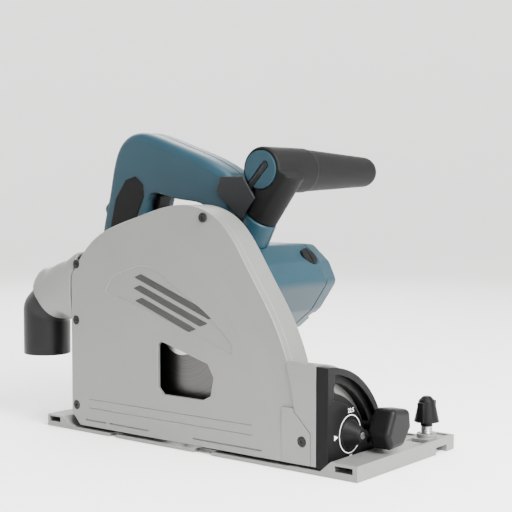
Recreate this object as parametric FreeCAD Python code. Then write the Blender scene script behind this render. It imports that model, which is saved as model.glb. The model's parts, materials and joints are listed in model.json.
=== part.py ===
import FreeCAD, Part
import math
import os

# Track plunge saw, modelled in millimetres.
# Origin on the sole, under the middle of the base and in the plane of the blade.
# +X is the cutting direction, +Y is the motor side, +Z is up.
# The saw unit is drawn raised, at 0 degrees bevel.

V = FreeCAD.Vector

# ---- driving dimensions ----
blade_diameter = 165.0
blade_bore = 20.0
blade_body = 1.6
tooth_count = 28
depth_of_cut = 56.0
running_gap = 0.05          # shaft in bush or hole
sliding_gap = 0.4           # parts that slide past each other
screw_gap = 0.1

base_rear = -158.0
base_front = 153.0
base_right = -15.0
base_left = 118.0
floor_thickness = 3.0
lip_thickness = 2.5
front_bar_height = 11.0
front_bar_length = 22.0
rear_bar_height = 9.5
rear_bar_length = 18.0
fence_slot_front = 15.0
fence_slot_rear = 13.0
fence_slot_height = 4.2
rail_groove_right = 91.0
rail_groove_width = 16.0
rail_groove_height = 5.2
rail_wall = 2.0

case_face = -14.0           # outer face of the blade cover
case_back = 12.0            # motor-side face of the blade case
case_wall = 2.8
case_bottom = 5.0
cover_depth = 8.0

pivot_x = -112.0            # plunge pivot
pivot_z = 70.0
spindle_x = -17.5           # spindle with the saw raised
spindle_z = 89.5
module = 0.95
gear_teeth = 48
pinion_teeth = 11
motor_direction = 72.0      # from the spindle to the motor shaft, degrees above +X

guide_x = 118.0             # rear face of the front angular guide
guide_thickness = 10.0
guide_radius = 75.0
rear_guide_x = -130.4
rear_guide_radius = 62.0
bevel_max = 48.0
clamp_radius = 61.0         # bevel clamp screws from the bevel axis
clamp_angle = 26.3
rear_clamp_radius = 48.0
rear_clamp_angle = 32.0

shaft_radius = 6.0          # plunge pivot shaft
bearing_width = 10.0
spindle_bearing_radius = 16.0
small_bearing_radius = 11.0
small_bearing_width = 7.0
armature_bearing_radius = 13.0
armature_bearing_width = 8.0
armature_shaft_radius = 5.0
stator_radius = 29.5
stator_bore = 17.0
armature_radius = 16.4
motor_end = 131.0

handle_middle = 59.0
handle_width = 34.0
handle_wall = 3.0

grip_x = 22.5
grip_z = 213.0
grip_start = 45.0
grip_radius = 18.0

nozzle_bore = 17.9
nozzle_wall = 2.0
nozzle_x = -178.4
nozzle_y = 3.0
nozzle_bottom = 57.0

# ---- derived places ----
blade_radius = blade_diameter / 2
pitch = math.hypot(spindle_x - pivot_x, spindle_z - pivot_z)
raised_angle = math.degrees(math.atan2(spindle_z - pivot_z, spindle_x - pivot_x))
lowered_z = blade_radius - depth_of_cut
lowered_angle = math.degrees(math.asin((lowered_z - pivot_z) / pitch))
plunge_travel = raised_angle - lowered_angle
gear_radius = module * gear_teeth / 2
pinion_radius = module * pinion_teeth / 2
motor_x = spindle_x + (gear_radius + pinion_radius) * math.cos(math.radians(motor_direction))
motor_z = spindle_z + (gear_radius + pinion_radius) * math.sin(math.radians(motor_direction))
boss_radius = spindle_bearing_radius + 2.0
boss_start = 4.6
gear_front = case_back + sliding_gap
gear_room_start = gear_front + 2.6
gear_room_end = gear_room_start + 11.0
plate_end = gear_room_end + 9.0


# ---- small builders ----
def box(x0, x1, y0, y1, z0, z1):
    return Part.makeBox(x1 - x0, y1 - y0, z1 - z0, V(x0, y0, z0))


def along_x(y, z, radius, x0, x1):
    return Part.makeCylinder(radius, x1 - x0, V(x0, y, z), V(1, 0, 0))


def along_y(x, z, radius, y0, y1):
    return Part.makeCylinder(radius, y1 - y0, V(x, y0, z), V(0, 1, 0))


def along_z(x, y, radius, z0, z1):
    return Part.makeCylinder(radius, z1 - z0, V(x, y, z0), V(0, 0, 1))


def tapered_y(x, z, r0, r1, y0, y1):
    return Part.makeCone(r0, r1, y1 - y0, V(x, y0, z), V(0, 1, 0))


def slab_y(points, y0, y1):
    wire = Part.makePolygon([V(x, y0, z) for x, z in points + points[:1]])
    return Part.Face(wire).extrude(V(0, y1 - y0, 0))


def slab_x(points, x0, x1):
    wire = Part.makePolygon([V(x0, y, z) for y, z in points + points[:1]])
    return Part.Face(wire).extrude(V(x1 - x0, 0, 0))


def fuse(shapes):
    whole = shapes[0]
    for shape in shapes[1:]:
        whole = whole.fuse(shape)
    return whole.removeSplitter()


def cut(shape, tools):
    for tool in tools:
        shape = shape.cut(tool)
    return shape


def around(radius, degrees, cx, cz):
    """Point at a radius and an angle above +X (or +Y), about a centre."""
    turn = math.radians(degrees)
    return cx + radius * math.cos(turn), cz + radius * math.sin(turn)


def arc_edge(centre, radius, start, end, place):
    """Arc between two angles; place turns (u, w) into a point."""
    points = [around(radius, a, *centre) for a in (start, (start + end) / 2, end)]
    return Part.Arc(*[place(u, w) for u, w in points]).toShape()


def arc_slot(centre, radius, half_width, start, end, place, depth):
    """Slot with round ends that follows an arc."""
    first = around(radius, start, *centre)
    last = around(radius, end, *centre)
    inner, outer = radius - half_width, radius + half_width
    edges = [
        arc_edge(centre, outer, start, end, place),
        arc_edge(last, half_width, end, end + 180, place),
        arc_edge(centre, inner, end, start, place),
        arc_edge(first, half_width, start - 180, start, place),
    ]
    return Part.Face(Part.Wire(edges)).extrude(depth)


def arc_band(centre, inner, outer, start, end, place, depth):
    """Flat band between two radii and two angles."""
    a, b = around(outer, end, *centre), around(inner, end, *centre)
    c, d = around(inner, start, *centre), around(outer, start, *centre)
    edges = [
        arc_edge(centre, outer, start, end, place),
        Part.makeLine(place(*a), place(*b)),
        arc_edge(centre, inner, end, start, place),
        Part.makeLine(place(*c), place(*d)),
    ]
    return Part.Face(Part.Wire(edges)).extrude(depth)


def in_xz(y):
    return lambda u, w: V(u, y, w)


def in_yz(x):
    return lambda u, w: V(x, u, w)


def plunged(shape, degrees):
    """Turn a shape with the saw unit; positive degrees lower the blade."""
    turned = shape.copy()
    turned.rotate(V(pivot_x, 0, pivot_z), V(0, 1, 0), degrees)
    return turned


pivot = (pivot_x, pivot_z)
bevel_axis = (case_face, 0.0)


# ---- base ----
front_bar_start = base_front - front_bar_length
rear_bar_end = base_rear + rear_bar_length
front_slot_x = front_bar_start + 3.0
rear_slot_x = base_rear + 2.5
slot_floor = 4.6
rear_slot_floor = 4.0
screw_y = rail_groove_right + 5.5
front_screw_x = front_slot_x + fence_slot_front / 2
rear_screw_x = rear_slot_x + fence_slot_rear / 2
boss_top = front_bar_height + 3.0
lever_x = 80.0
hat_top = rail_groove_height + rail_wall
clamp_hole_y, clamp_hole_z = around(clamp_radius, clamp_angle, *bevel_axis)
rear_hole_y, rear_hole_z = around(rear_clamp_radius, rear_clamp_angle, *bevel_axis)
guide_bolts = [(guide_x + 5.0, 4.0), (guide_x + 5.0, 52.0)]
rear_guide_end = rear_guide_x - 8.6
rear_guide_mid = (rear_guide_x + rear_guide_end) / 2
rear_bolts = [(rear_guide_mid, 6.0), (rear_guide_mid, 40.0)]


def make_base_plate():
    base = fuse([
        box(base_rear, base_front, base_right, base_left, 0, floor_thickness),
        box(front_bar_start, base_front, base_right, base_left, 0, front_bar_height),
        box(base_rear, rear_bar_end, base_right, base_left, 0, rear_bar_height),
        slab_y([(122, 2), (front_bar_start + 1, 2), (front_bar_start + 1, front_bar_height),
                (front_bar_start, front_bar_height), (122, floor_thickness)], base_right, 66),
        slab_y([(-128, 2), (-128, floor_thickness), (rear_bar_end, rear_bar_height),
                (rear_bar_end - 1, rear_bar_height), (rear_bar_end - 1, 2)], base_right, 60),
        box(base_rear, base_front, rail_groove_right - rail_wall,
            rail_groove_right + rail_groove_width + rail_wall, 0, hat_top),
        box(base_rear, base_front, base_left - 3, base_left, 0, 7),
        box(60, base_front - 1, 66, 68.5, 0, 6),
        box(-140, base_front - 1, 44, 46, 0, 5),
        box(-100, -98, 40, 90, 0, 5),
        box(70, 72, 12, 90, 0, 6),
        along_z(front_screw_x, screw_y, 7.5, 0, boss_top),
        along_z(rear_screw_x, screw_y, 7.5, 0, boss_top - 1.5),
    ])
    blade_slot = box(-109, 58, -2, 9.5, -1, 20)
    gear_window = box(-58, 8, -2, 38, -1, 20)
    lip_gaps = [box(-85, -76, base_right - 1, -8, -1, 20), box(6, 24, base_right - 1, -8, -1, 20)]
    lip_step = box(-126, 95, base_right - 1, -6, lip_thickness, 20)
    groove = box(base_rear - 1, base_front + 1, rail_groove_right,
                 rail_groove_right + rail_groove_width, -1, rail_groove_height)
    front_slot = box(front_slot_x, front_slot_x + fence_slot_front, base_right - 1,
                     base_left + 1, slot_floor, slot_floor + fence_slot_height)
    rear_slot = box(rear_slot_x, rear_slot_x + fence_slot_rear, base_right - 1,
                    base_left + 1, rear_slot_floor, rear_slot_floor + fence_slot_height)
    windows = [
        box(front_slot_x, base_front - 3, 76, 87, -1, 20),
        box(front_slot_x, base_front - 3, 109.5, base_left - 3, -1, 20),
    ]
    threads = [
        along_z(front_screw_x, screw_y, 3.0, slot_floor, 20),
        along_z(rear_screw_x, screw_y, 3.0, rear_slot_floor, 20),
    ]
    bolt_holes = []
    for x, y in guide_bolts + rear_bolts:
        bolt_holes.append(along_z(x, y, 2.0 + screw_gap, -1, 30))
        bolt_holes.append(Part.makeCone(4.2, 2.0, 2.2, V(x, y, 0), V(0, 0, 1)))
    cam_holes = [along_z(x, 82, 3.0 + running_gap, -1, 20) for x in (-110, 100)]
    lever_slot = [box(lever_x - 6, lever_x + 6, 70, 84.5, -1, 20)]
    cutters = [blade_slot, gear_window, lip_step, groove, front_slot, rear_slot]
    return cut(base, cutters + lip_gaps + windows + threads + bolt_holes + cam_holes + lever_slot)


def guide_bolt(x, y):
    head = Part.makeCone(4.0, 2.0, 2.0, V(x, y, 0.2), V(0, 0, 1))
    shank = along_z(x, y, 2.0, 2.2, 16)
    return head.fuse(shank)


def make_guide_screws():
    return Part.makeCompound([guide_bolt(x, y) for x, y in guide_bolts + rear_bolts])


def make_front_guide(base):
    end = guide_x + guide_thickness
    body = along_x(case_face, 0, guide_radius, guide_x, end)
    body = body.common(box(guide_x, end, case_face, 70, floor_thickness, 90))
    foot = box(guide_x, end, case_face, 62, floor_thickness, 14)
    body = body.fuse(foot).removeSplitter()
    body = body.cut(box(guide_x - 1, end + 1, case_face - 1, case_face + 1, 0, 4.5))
    slot = arc_slot(bevel_axis, clamp_radius, 3.6, clamp_angle, clamp_angle + bevel_max,
                    in_yz(guide_x - 1), V(guide_thickness + 2, 0, 0))
    pocket = arc_band(bevel_axis, clamp_radius - 9, clamp_radius + 9, clamp_angle - 10,
                      clamp_angle + bevel_max + 9, in_yz(guide_x + 6), V(6, 0, 0))
    dial_hole = along_x(stop_y, stop_z, 4.0 + running_gap, guide_x - 1, end + 1)
    dial_pocket = along_x(stop_y, stop_z, 12.5, guide_x + 7, end + 1)
    bolt_holes = [along_z(x, y, 2.0, 0, 16) for x, y in guide_bolts]
    return cut(body, [slot, pocket, dial_hole, dial_pocket, base] + bolt_holes)


def make_rear_guide(base):
    ring = along_x(case_face, 0, rear_guide_radius, rear_guide_end, rear_guide_x)
    body = ring.common(box(rear_guide_end, rear_guide_x, -3, 60, floor_thickness, 70))
    slot = arc_slot(bevel_axis, rear_clamp_radius, 3.6, rear_clamp_angle,
                    rear_clamp_angle + bevel_max, in_yz(rear_guide_end - 1), V(12, 0, 0))
    bolt_holes = [along_z(x, y, 2.0, 0, 16) for x, y in rear_bolts]
    return cut(body, [slot, base] + bolt_holes)


stop_y, stop_z = 13.0, 25.5


def make_stop_dial():
    end = guide_x + guide_thickness
    shaft = along_x(stop_y, stop_z, 4.0, guide_x + 1, guide_x + 7.3)
    disc = along_x(stop_y, stop_z, 12.0, guide_x + 7.3, end + 0.5)
    cone = Part.makeCone(10.5, 4.5, 10, V(end + 0.5, stop_y, stop_z), V(1, 0, 0))
    screw_seat = along_x(stop_y, stop_z, 2.5, end + 8, end + 12)
    return fuse([shaft, disc, cone]).cut(screw_seat)


def make_stop_dial_screw():
    end = guide_x + guide_thickness
    head = along_x(stop_y, stop_z, 2.5, end + 8, end + 11)
    return head.cut(box(end + 10.2, end + 12, stop_y - 3, stop_y + 3, stop_z - 0.4, stop_z + 0.4))


def thumb_screw(x, seat, top):
    shank = along_z(x, screw_y, 2.9, seat, top + 7)
    collar = along_z(x, screw_y, 4.5, top + 6, top + 9)
    cap = Part.makeCone(9.5, 6.0, 16, V(x, screw_y, top + 9), V(0, 0, 1))
    tip = Part.makeCone(6.0, 3.0, 3, V(x, screw_y, top + 25), V(0, 0, 1))
    wing = box(x - 2.5, x + 2.5, screw_y - 9.8, screw_y + 9.8, top + 9, top + 24)
    return fuse([shank, collar, cap, tip, wing])


def coil(x, y, mean_radius, wire, z0, z1):
    """Spring drawn as a stack of rings joined by a thin sleeve."""
    turns = 4
    step = (z1 - z0 - wire) / (turns - 1)
    rings = []
    for turn in range(turns):
        rings.append(Part.makeTorus(mean_radius, wire / 2, V(x, y, z0 + wire / 2 + turn * step), V(0, 0, 1)))
    sleeve = along_z(x, y, mean_radius + 0.15, z0 + 0.3, z1 - 0.3)
    sleeve = sleeve.cut(along_z(x, y, mean_radius - 0.15, z0, z1))
    return fuse([sleeve] + rings)


def make_fence_springs():
    front = coil(front_screw_x, screw_y, 4.0, 1.0, boss_top + 0.1, boss_top + 5.9)
    rear = coil(rear_screw_x, screw_y, 4.0, 1.0, boss_top - 1.4, boss_top + 4.4)
    return Part.makeCompound([front, rear])


def rail_cam(x):
    pin = along_z(x, 82, 3.0, 1, floor_thickness + 0.2)
    disc = along_z(x, 82, 6.5, floor_thickness + 0.2, 8)
    lever = box(x - 2.5, x + 2.5, 70, 82, floor_thickness + 0.6, 7)
    return fuse([pin, disc, lever])


def make_slide_lever():
    key = box(lever_x - 5.5, lever_x + 5.5, 70.5, 77, 0.6, floor_thickness + 0.3)
    knob = box(lever_x - 7, lever_x + 7, 69.5, 78, floor_thickness + 0.3, 7.5)
    return fuse([key, knob])


# ---- blade case and cover ----
cover_rear = -130.0
cover_front = 100.5
cover_curve = [(98.8, 45), (82.5, 98), (56, 140), (26, 176.5), (0, 185.5), (-60, 174.6), (-112, 150), (-127, 132)]
ear = [(cover_front - 10, case_bottom), (cover_front + 13, case_bottom), (cover_front + 13, 28),
       (cover_front - 4, 45), (cover_front - 10, 45)]


def inset_points(points, distance):
    """Corners of a closed outline after each side moves inwards by a distance (outwards if negative)."""
    count = len(points)
    area = sum(points[i - 1][0] * points[i][1] - points[i][0] * points[i - 1][1] for i in range(count))
    inward = distance if area > 0 else -distance
    moved = []
    for i in range(count):
        (ax, az), (bx, bz), (cx, cz) = points[i - 1], points[i], points[(i + 1) % count]
        before = math.hypot(bx - ax, bz - az)
        after = math.hypot(cx - bx, cz - bz)
        nx = -(bz - az) / before - (cz - bz) / after
        nz = (bx - ax) / before + (cx - bx) / after
        miter = 2 * inward / (nx * nx + nz * nz)
        moved.append((bx + nx * miter, bz + nz * miter))
    return moved


def outline_slab(y0, y1, inset):
    """Side outline of the case: one smooth curve over the top, straight at the rear and the bottom."""
    points = [(cover_front, 12)] + cover_curve + [(cover_rear, 104)]
    smooth = len(points)
    points = points + [(cover_rear, 14), (cover_rear + 9, case_bottom), (cover_front, case_bottom)]
    corners = [V(x, y0, z) for x, z in inset_points(points, inset)]
    curve = Part.BSplineCurve()
    curve.interpolate(Points=corners[:smooth], InitialTangent=V(0, 0, 1), FinalTangent=V(0, 0, -1))
    sides = Part.makePolygon(corners[smooth - 1:] + corners[:1]).Edges
    return Part.Face(Part.Wire([curve.toShape()] + sides)).extrude(V(0, y1 - y0, 0))


cover_screw_places = [(-123, 137), (-123.5, 91), (-123.5, 21), (13.6, 176.5), (105.5, 21.3)]
band_centre = (-113.5, -25.3)
band_radius = 200.6
band_width = 14.0
band_drop = 1.6


def screw_boss(x, z, y0, y1):
    """Pillar for a cover screw, trimmed where it would stand out of the case wall."""
    return along_y(x, z, 4.6, y0, y1).common(outline_slab(y0, y1, 1.0))


def make_blade_cover():
    rim_end = case_face + cover_depth
    plate_back = case_face + 3.0
    plate = fuse([outline_slab(case_face, plate_back, 0), slab_y(ear, case_face, plate_back)])
    outer = [e for e in plate.Edges if all(abs(v.Y - case_face) < 0.01 for v in e.Vertexes)]
    upper = [e for e in outer if e.CenterOfMass.z > case_bottom + 1]
    plate = plate.makeFillet(2.2, upper)
    rim = outline_slab(plate_back, rim_end, 0)
    room = outline_slab(plate_back, rim_end + 1, case_wall)
    room = room.fuse(box(-118, 97, plate_back, rim_end + 1, case_bottom - 1, 10))
    bosses = []
    for x, z in cover_screw_places[:4]:
        bosses.append(screw_boss(x, z, plate_back - 0.5, rim_end))
    cover = fuse([plate, rim.cut(room)] + bosses)
    y = case_face
    ring = Part.makePolygon([
        V(band_radius, y, 0), V(band_radius + band_width, y + band_drop, 0),
        V(band_radius + 130, y + band_drop, 0), V(band_radius + 130, y - 2, 0),
        V(band_radius, y - 2, 0), V(band_radius, y, 0)])
    step = Part.Face(ring).revolve(V(0, 0, 0), V(0, 1, 0), 360)
    step.translate(V(band_centre[0], 0, band_centre[1]))
    pad = slab_y([(88, 0), (88, 44), (100, 44), (114, 29), (114, 0)], y - 3, y + 3)
    cover = cover.cut(step.cut(pad))
    window = slab_y([(-32, 78), (-28, 81), (19, 68), (25, 58), (22, 44), (14, 40), (-27, 40), (-32, 45)],
                    y - 1, y + 5)
    grooves = [box(-108, 61, y - 1, y + 0.5, z - 0.4, z + 0.4) for z in (27.4, 20.2)]
    slots = [box(a, b, y - 1, y + 1.2, 9.4, 10.8) for a, b in ((-113, -89), (-85, -42), (4, 70))]
    screws = []
    for x, z in cover_screw_places:
        screws.append(along_y(x, z, 2.0, y - 1, rim_end + 1))
        screws.append(along_y(x, z, 4.0, y - 1, y + 1.4))
    return cut(cover, [window] + grooves + slots + screws)


def cover_screw(x, z):
    head = along_y(x, z, 3.6, case_face + 0.2, case_face + 1.4)
    shank = along_y(x, z, 2.0, case_face + 1.4, case_face + 11)
    socket = Part.makeCylinder(1.6, 0.9, V(x, case_face + 0.1, z), V(0, 1, 0))
    return head.fuse(shank).cut(socket)


def make_cover_screws():
    return Part.makeCompound([cover_screw(x, z) for x, z in cover_screw_places])


swivel = V(-0.765, 0, -0.644)
seam = V(-165.9, nozzle_y, 105.5)
nozzle_outer = nozzle_bore + nozzle_wall


def oval(centre, wide, tall, lean):
    """Closed curve through 16 points; lean turns its plane from upright towards the swivel axis."""
    turn = math.radians(lean)
    up = V(-math.sin(turn), 0, math.cos(turn))
    points = []
    for index in range(16):
        a = 2 * math.pi * index / 16
        squareness = (abs(math.cos(a)) ** 2.6 + abs(math.sin(a)) ** 2.6) ** (-1 / 2.6)
        points.append(centre + V(0, wide * squareness * math.cos(a), 0) + up * (tall * squareness * math.sin(a)))
    curve = Part.BSplineCurve()
    curve.interpolate(Points=points, PeriodicFlag=True)
    return Part.Wire([curve.toShape()])


def dust_socket(wall):
    """Rounded duct from the case's rear wall to the swivel seam; wall shrinks it for the hollow."""
    tilt = math.degrees(math.atan2(-swivel.z, -swivel.x))
    inward = cover_rear + 2.4 + wall / 2
    sections = [
        oval(V(inward, -1, 117), 12.9 - wall, 29 - wall, 0),
        oval(V(-143, 0.5, 117), 17.5 - wall, 28.5 - wall, tilt * 0.3),
        oval(V(-155, 2, 114), 20.5 - wall, 25.5 - wall, tilt * 0.7),
        oval(seam, nozzle_outer + 1.5 - wall, nozzle_outer + 1.5 - wall, tilt)]
    return Part.makeLoft(sections, True, False)


def make_blade_case():
    rim_start = case_face + cover_depth
    back_start = case_back - case_wall
    shell = outline_slab(rim_start, case_back, 0)
    room = outline_slab(rim_start - 1, back_start, case_wall)
    room = room.fuse(box(-118, 97, rim_start - 1, back_start, case_bottom - 1, 10))
    case = shell.cut(room)
    lug = along_x(case_face, 0, guide_radius + 1.5, 86, guide_x - 0.3)
    lug = lug.common(box(86, guide_x - 0.3, case_face, 56, case_bottom, 80))
    lug = lug.cut(box(102.5, 113, case_face + 4, 60, case_bottom + 3, 60))
    lug = lug.cut(slab_y(ear, case_face - 1, case_face + 3))
    lug = lug.cut(outline_slab(case_face - 1, rim_start, 0)).cut(room)
    rear_plate = along_x(case_face, 0, rear_guide_radius - 6, cover_rear, cover_rear + 4)
    rear_plate = rear_plate.common(box(cover_rear, cover_rear + 4, 8, 46, case_bottom, 60))
    boss = along_y(pivot_x, pivot_z, 12.0, back_start, case_back + 2.5)
    socket = dust_socket(0).cut(outline_slab(case_face - 1, rim_start, 0))
    duct = dust_socket(2.2)
    bosses = []
    for x, z in cover_screw_places[:4]:
        bosses.append(screw_boss(x, z, rim_start, back_start + 0.5))
    case = fuse([case, lug, rear_plate, boss, socket] + bosses)
    screw_holes = [along_y(x, z, 2.0, case_face, case_face + 12) for x, z in cover_screw_places]
    spindle_slot = arc_slot(pivot, pitch, boss_radius + 1.2, lowered_angle, raised_angle,
                            in_xz(back_start - 1), V(0, case_wall + 4, 0))
    mouth = box(spindle_x - 29, spindle_x + 11, back_start - 1, case_back + 3, 0, 28)
    stop_slot = arc_slot(pivot, stop_radius, 2.4, stop_angle - 3, stop_angle + stop_travel,
                         in_xz(back_start - 1), V(0, case_wall + 4, 0))
    shaft_hole = along_y(pivot_x, pivot_z, shaft_radius, back_start - 1, case_back + 5)
    clamp_hole = along_x(clamp_hole_y, clamp_hole_z, 3.0 + running_gap, 100, guide_x)
    rear_hole = along_x(rear_hole_y, rear_hole_z, 3.0 + running_gap, cover_rear - 1, cover_rear + 5)
    doorway = box(cover_rear - 3, cover_rear + case_wall + 1, rim_start + 2, back_start - 1, 96, 131)
    holes = [duct, doorway, spindle_slot, mouth, stop_slot, shaft_hole, clamp_hole, rear_hole]
    return cut(case, holes + screw_holes)


stop_radius = 166.0
stop_angle = -15.5          # depth stop block, at full depth
stop_travel = 34.0
stop_half = 2.2             # half the block, in degrees


def make_depth_scale():
    plate = arc_band(pivot, stop_radius - 8, stop_radius + 8, stop_angle - 4.2, stop_angle + stop_travel + 4,
                     in_xz(case_back), V(0, 1.2, 0))
    slot = arc_slot(pivot, stop_radius, 2.4, stop_angle - 3, stop_angle + stop_travel,
                    in_xz(case_back - 1), V(0, 4, 0))
    marks = []
    for step in range(15):
        angle = stop_angle + step * stop_travel / 14
        marks.append(arc_band(pivot, stop_radius - 7, stop_radius - 4, angle - 0.12, angle + 0.12,
                              in_xz(case_back + 0.9), V(0, 1, 0)))
    return cut(plate, [slot] + marks)


stop_y0 = case_back + 1.2 + sliding_gap


def make_depth_stop():
    block = arc_band(pivot, stop_radius - 8, stop_radius + 7, stop_angle - stop_half,
                     stop_angle + stop_half, in_xz(stop_y0), V(0, 9, 0))
    x, z = around(stop_radius, stop_angle, *pivot)
    hole = along_y(x, z, 2.0 + running_gap, stop_y0 - 1, stop_y0 + 10)
    return block.cut(hole)


def make_depth_stop_knob():
    x, z = around(stop_radius, stop_angle, *pivot)
    nut = along_y(x, z, 4.5, case_back - case_wall - 3, case_back - case_wall - 0.3)
    shank = along_y(x, z, 2.0, case_back - case_wall - 1, stop_y0 + 10)
    knob = along_y(x, z, 7.5, stop_y0 + 9.4, stop_y0 + 18)
    wing = box(x - 2, x + 2, stop_y0 + 10, stop_y0 + 20, z - 7.8, z + 7.8)
    return fuse([nut, shank, knob, wing])


# ---- dust nozzle ----
def elbow(radius, bottom, stretch):
    """Inclined stub at the seam, a ball at the bend and a straight pipe down."""
    reach = (nozzle_x - seam.x) / swivel.x
    bend = seam + swivel * reach
    stub = Part.makeCylinder(radius, reach + stretch, seam - swivel * stretch, swivel)
    ball = Part.makeSphere(radius, bend)
    pipe = along_z(nozzle_x, nozzle_y, radius, bottom, bend.z)
    return fuse([stub, ball, pipe])


def make_dust_nozzle():
    outer = elbow(nozzle_outer, nozzle_bottom, -0.4)
    inner = elbow(nozzle_bore, nozzle_bottom - 1, 12)
    collar = Part.makeCylinder(nozzle_outer - 0.8, 4, seam - swivel * 3.5, swivel)
    collar_room = Part.makeCylinder(nozzle_bore, 8, seam - swivel * 5, swivel)
    return outer.fuse(collar).cut(collar_room).cut(inner)


# ---- plunge pivot ----
arm_start = case_back + 2.8
arm_end = arm_start + 22.0
bush_radius = shaft_radius + 2.0
bush_length = 5.0


def make_pivot_shaft():
    rod = along_y(pivot_x, pivot_z, shaft_radius, case_back - case_wall + 0.2, arm_end + 3.5)
    head = along_y(pivot_x, pivot_z, shaft_radius + 3.5, arm_end + 0.4, arm_end + 3.5)
    socket = along_y(pivot_x, pivot_z, 2.5, arm_end + 1, arm_end + 5)
    return fuse([rod, head]).cut(socket)


def bush(y0):
    ring = along_y(pivot_x, pivot_z, bush_radius, y0, y0 + bush_length)
    return ring.cut(along_y(pivot_x, pivot_z, shaft_radius + running_gap, y0 - 1, y0 + bush_length + 1))


def make_pivot_bushes():
    return Part.makeCompound([bush(arm_start), bush(arm_end - bush_length)])


def make_return_spring():
    turns = 5
    mean = shaft_radius + 2.6
    y0 = arm_start + bush_length + 1.2
    step = (arm_end - arm_start - 2 * bush_length - 2.4 - 1.6) / (turns - 1)
    rings = []
    for turn in range(turns):
        rings.append(Part.makeTorus(mean, 0.8, V(pivot_x, y0 + 0.8 + turn * step, pivot_z), V(0, 1, 0)))
    sleeve = along_y(pivot_x, pivot_z, mean + 0.2, y0 + 0.5, y0 + (turns - 1) * step + 1)
    sleeve = sleeve.cut(along_y(pivot_x, pivot_z, mean - 0.2, y0, y0 + 30))
    return fuse([sleeve] + rings)


# ---- saw unit castings ----
motor_outline = [(-21, 37), (21, 37), (38, 22.5), (46, 6), (29.3, -18), (5.8, -37),
                 (-19, -36), (-37, -18), (-39, 14)]


def motor_wire(y, scale):
    points = [V(motor_x + scale * u, y, motor_z + scale * w) for u, w in motor_outline]
    return Part.makePolygon(points + points[:1])


def motor_loft(y0, y1, scale0, scale1, rounding):
    solid = Part.makeLoft([motor_wire(y0, scale0), motor_wire(y1, scale1)], True, True)
    long_edges = []
    for edge in solid.Edges:
        ends = [v.Y for v in edge.Vertexes]
        if abs(ends[0] - ends[1]) > 1:
            long_edges.append(edge)
    return solid.makeFillet(rounding, long_edges)


stop_lug_angle = stop_angle + stop_half + plunge_travel + 0.3
gear_room_radius = gear_radius + module + 0.6
gear_shell_radius = gear_room_radius + 1.9


def make_gear_housing():
    nose = along_y(spindle_x, spindle_z, boss_radius, boss_start, gear_front + 1)
    drum = along_y(spindle_x, spindle_z, gear_shell_radius, gear_front, gear_room_end)
    body = motor_loft(gear_front, plate_end, 0.94, 0.97, 7)
    a = math.radians(math.degrees(math.atan2(spindle_z - pivot_z, spindle_x - pivot_x)) + 90)
    arm = slab_y([
        (pivot_x + 12.5 * math.cos(a), pivot_z + 12.5 * math.sin(a)),
        (pivot_x - 12.5 * math.cos(a), pivot_z - 12.5 * math.sin(a)),
        (spindle_x - 24 * math.cos(a), spindle_z - 24 * math.sin(a)),
        (spindle_x + 40 * math.cos(a), spindle_z + 40 * math.sin(a))], gear_front, gear_room_end)
    arm = arm.cut(along_y(pivot_x, pivot_z, 14.0, 0, arm_start))
    eye = along_y(pivot_x, pivot_z, 14.0, arm_start, arm_end)
    lug = arc_band(pivot, 120, stop_radius + 5, stop_lug_angle, stop_lug_angle + 3,
                   in_xz(stop_y0), V(0, 8, 0))
    brace = arc_band(pivot, 118, 140, stop_lug_angle - 6, stop_lug_angle + 3, in_xz(stop_y0), V(0, 8, 0))
    housing = fuse([nose, drum, body, arm, eye, lug, brace])
    gear_room = along_y(spindle_x, spindle_z, gear_room_radius, gear_room_start, gear_room_end + 20)
    pinion_room = along_y(motor_x, motor_z, pinion_radius + 2.2, gear_room_start, gear_room_end + 20)
    seat = along_y(spindle_x, spindle_z, spindle_bearing_radius, boss_start + 0.8, boss_start + 0.8 + bearing_width)
    front_hole = along_y(spindle_x, spindle_z, 10.0, 0, gear_room_start + 1)
    plate_room = motor_loft(gear_room_end, plate_end + 1, 0.86, 0.86, 6)
    bush_bores = [
        along_y(pivot_x, pivot_z, bush_radius, arm_start - 1, arm_start + bush_length),
        along_y(pivot_x, pivot_z, bush_radius, arm_end - bush_length, arm_end + 1),
        along_y(pivot_x, pivot_z, shaft_radius + 4.0, arm_start + bush_length, arm_end - bush_length)]
    lock_hole = lock_button_rod(3.5 + running_gap, 15, 60)
    lock_pocket = lock_button_rod(5.0 + sliding_gap, lock_cap_start - lock_travel - 0.4, 60)
    knob_room = along_y(spindle_x, spindle_z, gear_room_radius, plate_end, plate_end + 1)
    rooms = [gear_room, pinion_room, seat, front_hole, plate_room, lock_hole, lock_pocket, knob_room]
    return cut(housing, rooms + bush_bores)


lock_y = gear_room_start + 4.5
lock_direction = V(math.cos(math.radians(17)), 0, math.sin(math.radians(17)))
lock_travel = 3.4
lock_pin_start = gear_radius + module + 1.2 + lock_travel
lock_cap_start = 41.0


def lock_button_rod(radius, start, end):
    origin = V(spindle_x, lock_y, spindle_z) + lock_direction * start
    return Part.makeCylinder(radius, end - start, origin, lock_direction)


def make_shaft_lock():
    pin = lock_button_rod(3.5, lock_pin_start, lock_cap_start + 2)
    cap = lock_button_rod(5.0, lock_cap_start, lock_cap_start + 4.5)
    return fuse([pin, cap])


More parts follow.
